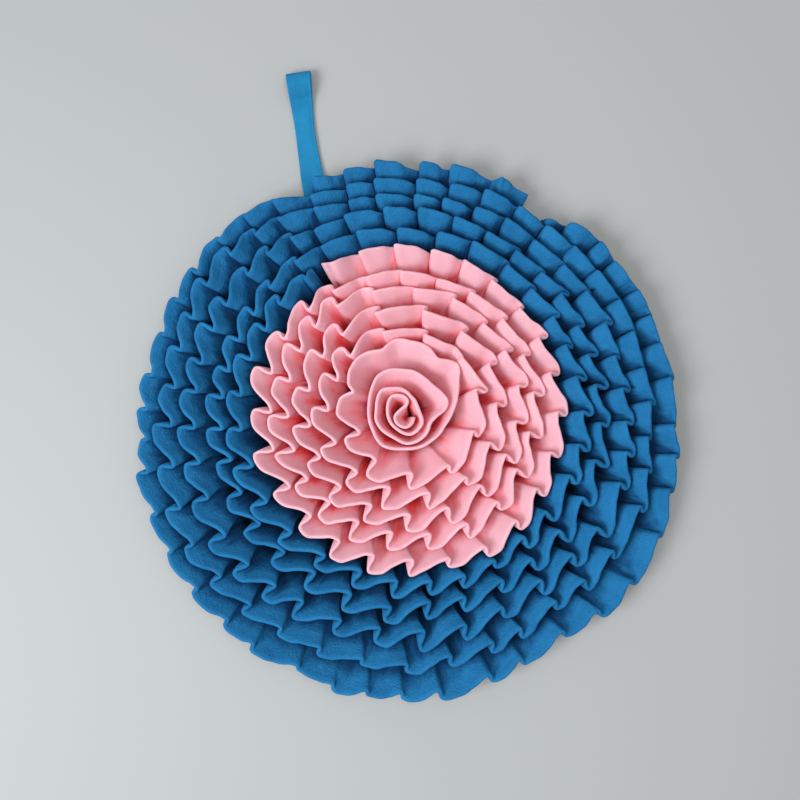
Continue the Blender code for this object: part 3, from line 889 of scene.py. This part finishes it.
def find_openness(pieces):
    """Keeps on each point how open it lies: 0 deep in a fold, 1 where nothing is over it. The cloth
    colours use it for painted shade.
    """
    points, faces = [], []
    for piece in pieces:
        first = len(points)
        points += [v.co.copy() for v in piece.data.vertices]
        faces += [[first + i for i in polygon.vertices] for polygon in piece.data.polygons]
    tree = BVHTree.FromPolygons(points, faces)
    looks = look_directions()
    for piece in pieces:
        values = []
        for vertex in piece.data.vertices:
            start = vertex.co + vertex.normal * LOOK_START
            seen = [look for look in looks if look.dot(vertex.normal) > LOOK_GRAZING]
            clear = sum(tree.ray_cast(start, look, LOOK_REACH)[0] is None for look in seen)
            values.append(clear / max(FEWEST_LOOKS, len(seen)))
        attribute = piece.data.attributes.new("openness", "FLOAT", "POINT")
        attribute.data.foreach_set("value", values)


def add_object(name, data):
    made = bpy.data.objects.new(name, data)
    bpy.context.scene.collection.objects.link(made)
    return made


def add_mesh(name, points, faces):
    """A smooth-shaded object from points in metres and faces."""
    mesh = bpy.data.meshes.new(name)
    mesh.from_pydata(points, [], faces)
    mesh.validate()
    mesh.update()
    mesh.polygons.foreach_set("use_smooth", [True] * len(mesh.polygons))
    return add_object(name, mesh)


def closed_mesh(name, grid):
    """A tube from rings of points in millimetres, closed at both ends across the ring."""
    count, around = grid.shape[:2]
    index = np.arange(count * around).reshape(count, around)
    a = index[:-1]
    b = index[1:]
    a2 = np.roll(a, -1, axis=1)
    b2 = np.roll(b, -1, axis=1)
    quads = np.stack([a, b, b2, a2], axis=-1).reshape(-1, 4).tolist()
    for row, flip in ((index[0], False), (index[-1], True)):
        for n in range(around // 2 - 1):
            quad = [row[n], row[n + 1], row[around - 2 - n], row[around - 1 - n]]
            quads.append([int(i) for i in (quad[::-1] if flip else quad)])
    return add_mesh(name, (grid.reshape(-1, 3) * MM).tolist(), quads)


def add_node(tree, kind, **values):
    """A shader node with values for its inputs or, where it has no such input, its settings."""
    node = tree.nodes.new(kind)
    for key, value in values.items():
        if key in node.inputs:
            node.inputs[key].default_value = value
        else:
            setattr(node, key.lower(), value)
    return node


def add_noise(tree, **values):
    """Noise in the piece's own space."""
    noise = add_node(tree, "ShaderNodeTexNoise", **values)
    place = tree.nodes.new("ShaderNodeTexCoord").outputs["Object"]
    tree.links.new(place, noise.inputs["Vector"])
    return noise.outputs["Fac"]


def add_ramp(tree, value, stops):
    """Colours over a value, from stops of (position, colour)."""
    made = tree.nodes.new("ShaderNodeValToRGB")
    elements = made.color_ramp.elements
    elements.remove(elements[1])
    for n, (position, colour) in enumerate(stops):
        stop = elements.new(position) if n else elements[0]
        stop.position = position
        stop.color = (*colour, 1.0)
    tree.links.new(value, made.inputs["Fac"])
    return made.outputs["Color"]


def add_bump(tree, height, strength, depth):
    bump = add_node(tree, "ShaderNodeBump", Strength=strength, Distance=depth)
    tree.links.new(height, bump.inputs["Height"])
    return bump


def with_painted_shade(tree, colour, depths):
    """The colour with painted shade: darker where the cloth lies deep in its folds and shade falls."""
    open_here = add_node(tree, "ShaderNodeAttribute", Attribute_Name="openness")
    mixed = tree.nodes.new("ShaderNodeMixRGB")
    mixed.blend_type = "MULTIPLY"
    mixed.inputs["Fac"].default_value = 1.0
    tree.links.new(colour, mixed.inputs["Color1"])
    tree.links.new(add_ramp(tree, open_here.outputs["Fac"], depths), mixed.inputs["Color2"])
    return mixed.outputs["Color"]


def cloth_material(fabric):
    """Brushed cloth: mottled colour, with painted shade in the folds where the fabric has it, a fine
    nap and small wrinkles as bump, and a soft sheen.
    """
    made = bpy.data.materials.new(fabric.name)
    made.use_nodes = True
    tree = made.node_tree
    shader = tree.nodes["Principled BSDF"]
    shader.inputs["Roughness"].default_value = fabric.roughness
    shader.inputs["Specular IOR Level"].default_value = SPECULAR
    shader.inputs["Sheen Weight"].default_value = fabric.sheen
    shader.inputs["Sheen Roughness"].default_value = SHEEN_ROUGHNESS
    shader.inputs["Sheen Tint"].default_value = (*fabric.light, 1)
    shader.inputs["Subsurface Weight"].default_value = fabric.softness
    shader.inputs["Subsurface Radius"].default_value = SCATTER_RADIUS
    shader.inputs["Subsurface Scale"].default_value = SCATTER_SCALE
    mottle = add_noise(tree, Scale=MOTTLE_SCALE, Detail=5.0, Roughness=0.6)
    colour = add_ramp(tree, mottle, zip(MOTTLE_STOPS, (fabric.dark, fabric.light)))
    # painted shade: the colour darkens where the folds close over the cloth
    if fabric.depths:
        colour = with_painted_shade(tree, colour, fabric.depths)
    tree.links.new(colour, shader.inputs["Base Color"])
    nap_scale, nap_strength = fabric.nap
    nap = add_noise(tree, Scale=nap_scale, Detail=3.0, Roughness=0.65)
    fine = add_bump(tree, nap, nap_strength, NAP_DEPTH)
    crease_scale, crease_strength = fabric.creases
    crease = add_noise(tree, Scale=crease_scale, Detail=4.0, Distortion=1.2)
    coarse = add_bump(tree, crease, crease_strength, CREASE_DEPTH)
    tree.links.new(fine.outputs["Normal"], coarse.inputs["Normal"])
    tree.links.new(coarse.outputs["Normal"], shader.inputs["Normal"])
    return made


def dress(piece, cloth_colour, node):
    """Gives a piece its material, attaches it to the root body and hides the solid that it replaces.
    """
    piece.data.materials.append(cloth_colour)
    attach(piece, "root")
    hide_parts(node)


def build_disc(felt):
    """The felt disc, cut from sheet, with a softened rim."""
    below = [(r, 0.0) for r in DISC_RINGS]
    below += [(BACKING_RADIUS - inwards, z) for inwards, z in DISC_EDGE]
    profile = below + [(r, BACKING_THICKNESS - z) for r, z in reversed(below)]
    points = []
    for n in range(DISC_AROUND):
        turn = 2 * math.pi * n / DISC_AROUND
        points += [(r * math.cos(turn) * MM, r * math.sin(turn) * MM, z * MM) for r, z in profile]
    low = len(points)
    points += [(0.0, 0.0, 0.0), (0.0, 0.0, BACKING_THICKNESS * MM)]
    rings = len(profile)
    faces = []
    for n in range(DISC_AROUND):
        here = n * rings
        beside = (n + 1) % DISC_AROUND * rings
        faces += [(here + j, beside + j, beside + j + 1, here + j + 1) for j in range(rings - 1)]
        faces.append((low, beside, here))
        faces.append((low + 1, here + rings - 1, beside + rings - 1))
    disc = add_mesh("felt_disc", points, faces)
    disc.data.materials.append(felt)
    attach(disc, "root")
    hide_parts("backing")


def loop_profile():
    """Side view of the strap: (distance from the root, height), out below and back above."""
    length = math.dist(LOOP_ROOT, LOOP_TIP)
    half = 0.5 * LOOP_SHEET
    on_floor = half
    on_disc = BACKING_THICKNESS + GAP + half
    step = LOOP_SHEET + GAP
    eye = length - LOOP_EYE_LENGTH
    halfway = 0.5 * (LOOP_OFF_DISC + eye)
    top = on_floor + LOOP_SHEET + LOOP_EYE_HEIGHT
    bend = length - LOOP_EYE_BEND
    corner = length - LOOP_EYE_CORNER
    below = [(0.0, on_disc)] + [(distance, on_disc) for distance in LOOP_ON_DISC]
    below += [(distance, on_floor) for distance in (LOOP_OFF_DISC, halfway, eye, bend)]
    tip = [
        (corner, on_floor + LOOP_EYE_CORNER),
        (length, 0.5 * (on_floor + top)),
        (corner, top - LOOP_EYE_CORNER),
        (bend, top),
        (eye + LOOP_EYE_SHOULDER[0], top - LOOP_EYE_SHOULDER[1]),
        (eye, on_floor + step + LOOP_EYE_NECK),
    ]
    above = [(distance, on_floor + step) for distance in (eye - LOOP_EYE_RISE, halfway, LOOP_OFF_DISC)]
    above += [(distance, on_disc + step) for distance in (*reversed(LOOP_ON_DISC), LOOP_UPPER_START)]
    return below + tip + above


def build_loop(cloth_colour):
    """The hanging loop: a strap folded double, laid along its side view."""
    root = Vector(LOOP_ROOT)
    along = (Vector(LOOP_TIP) - root).normalized()
    across = Vector((along.y, -along.x))
    length = math.dist(LOOP_ROOT, LOOP_TIP)
    side_view = smooth_line([(d, z, 0.0) for d, z in loop_profile()], LOOP_STEPS)
    tangent = unit(np.gradient(side_view, axis=0))
    half = 0.5 * LOOP_SHEET
    outline = LOOP_SECTION + tuple((s, -h) for s, h in reversed(LOOP_SECTION))
    rings = []
    for (d, z, _), (td, tz, _) in zip(side_view, tangent):
        width = spline(LOOP_WIDTHS, d / length)
        aside = LOOP_BEND * math.sin(math.pi * d / length)
        ring = []
        for s, h in outline:
            point = root + along * (d + tz * h * half) + across * (s * 0.5 * width - aside)
            ring.append((point.x, point.y, max(0.0, z - td * h * half)))
        rings.append(ring)
    loop = closed_mesh("strap_loop", np.array(rings))
    dress(loop, cloth_colour, "hanging_loop")
    return loop


def build_strips():
    """The three gathered strips, with their folds drawn in together."""
    blue = cloth_material(BLUE_FLEECE)
    pink = cloth_material(PINK_BRUSHED)
    crests = spiral_folds()
    coil = coil_columns()
    end_folds = strip_folds(crests, 0.0, BLUE_END_LAST)
    blue_folds = strip_folds(crests, BLUE_FIRST, BLUE_LAST)
    pink_folds = strip_folds(crests, PINK_FIRST, PINK_LAST)
    settle([end_folds, blue_folds, pink_folds], coil)
    end = build_cloth(BLUE_END, strip_columns(end_folds))
    dress(end, blue, "blue_ruffle_end")
    outer = build_cloth(BLUE, strip_columns(blue_folds, START_HEIGHT, START_SPAN))
    dress(outer, blue, "blue_ruffle")
    inner = build_cloth(PINK, strip_columns(pink_folds) + coil[1:])
    dress(inner, pink, "pink_ruffle")
    return [end, outer, inner]


def build_floor():
    """A plain pale floor."""
    signs = ((-1, -1), (1, -1), (1, 1), (-1, 1))
    corners = [(x * FLOOR_HALF, y * FLOOR_HALF, 0) for x, y in signs]
    floor = add_mesh("floor", corners, [(0, 1, 2, 3)])
    made = bpy.data.materials.new("pale_floor")
    made.use_nodes = True
    shader = made.node_tree.nodes["Principled BSDF"]
    shader.inputs["Base Color"].default_value = FLOOR_COLOUR
    shader.inputs["Roughness"].default_value = FLOOR_ROUGHNESS
    floor.data.materials.append(made)


def build_light():
    """A soft window from the lower left, a fill from above and an even sky."""
    world = bpy.data.worlds.new("studio")
    bpy.context.scene.world = world
    world.use_nodes = True
    sky = world.node_tree.nodes["Background"]
    sky.inputs["Color"].default_value = SKY_COLOUR
    sky.inputs["Strength"].default_value = SKY_STRENGTH
    for light in LIGHTS:
        data = bpy.data.lights.new(light.name, "AREA")
        data.shape = "RECTANGLE"
        data.size = light.size
        data.size_y = light.size
        data.energy = light.power
        data.color = light.colour
        lamp = add_object(light.name, data)
        lamp.location = light.position
        aim = Vector(light.target) - Vector(light.position)
        lamp.rotation_euler = aim.to_track_quat("-Z", "Y").to_euler()


def build_camera():
    """The camera straight above the mat."""
    data = bpy.data.cameras.new("camera")
    data.sensor_width = CAMERA_SENSOR
    data.lens_unit = "FOV"
    data.angle = 2 * math.atan(VIEW_SLOPE)
    camera = add_object("camera", data)
    camera.location = CAMERA_POSITION
    bpy.context.scene.camera = camera


def main():
    bpy.context.scene.view_settings.view_transform = "Standard"
    build_camera()
    build_disc(cloth_material(FELT))
    strips = build_strips()
    loop = build_loop(cloth_material(STRAP_PAINTED_LIGHTER))
    find_openness(strips + [loop])
    build_floor()
    build_light()


main()
bpy.context.view_layer.update()
